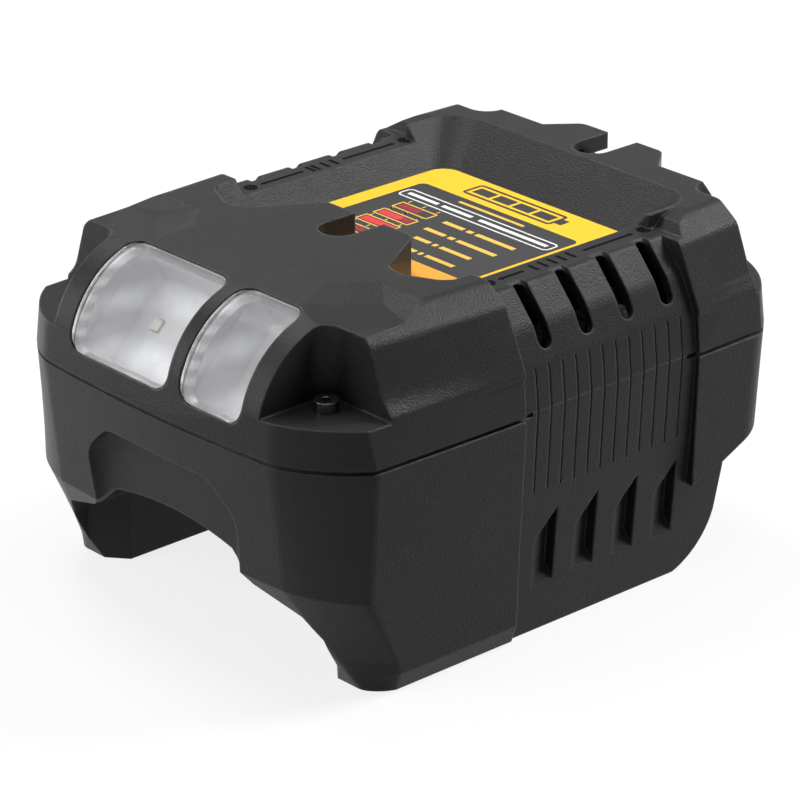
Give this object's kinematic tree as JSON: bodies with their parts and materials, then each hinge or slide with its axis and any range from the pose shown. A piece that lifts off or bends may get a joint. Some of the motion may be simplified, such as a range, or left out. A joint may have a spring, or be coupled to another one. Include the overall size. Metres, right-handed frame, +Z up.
{
  "type": "power tool battery charger",
  "caption": "Boxy slide-on battery charger with two light windows, a label tray, grip panels, side vents, a tunnel for the pack and notches for hanging it on a wall.",
  "frame": {"origin": "centre of the bounding box's bottom face, on the plane of the feet", "axes": "-Y is the front with the light windows and the battery mouth, +X is the right-hand side, +Z is up"},
  "size_m": [0.1224, 0.1574, 0.0889],
  "materials": {
    "housing": "fine moulded texture, satin black",
    "lens": "clear polished",
    "reflector": "silvery",
    "board": "solder-mask green",
    "emitter": "frosted",
    "label": "printed satin film",
    "screw_black": "black oxide",
    "screw_steel": "zinc plated",
    "sheet": "paper-like",
    "ferrite": "sintered",
    "tape": "polyester tape",
    "copper_wire": "enamelled copper",
    "can": "sleeved can",
    "part_yellow": "moulded case",
    "part_black": "moulded package",
    "part_blue": "dipped coating",
    "fuse_glass": "glass tube with metal caps",
    "sink": "plain",
    "blade": "plated",
    "block": "moulded",
    "gland": "soft moulded"
  },
  "bodies": {
    "root": {"upper_housing": "housing", "lower_housing": "housing", "lens_large": "lens", "lens_small": "lens", "reflector_large": "reflector", "reflector_small": "reflector", "light_board": "board", "light_emitters": "emitter", "label_plate": "label", "corner_screws": "screw_black", "board_screws": "screw_steel", "main_board": "board", "insulating_sheet": "sheet", "transformer_core": "ferrite", "choke_core": "ferrite", "transformer_winding": "tape", "choke_winding": "copper_wire", "bulk_capacitor": "can", "output_capacitors": "can", "safety_capacitor": "part_yellow", "bridge_rectifier": "part_black", "optocoupler": "part_black", "controller_chip": "part_black", "varistor": "part_blue", "fuse": "fuse_glass", "heat_sink_primary": "sink", "heat_sink_output": "sink", "switching_transistor": "part_black", "output_rectifier": "part_black", "contact_blades": "blade", "terminal_block": "block", "cord_gland": "gland"}
  },
  "joints": []
}
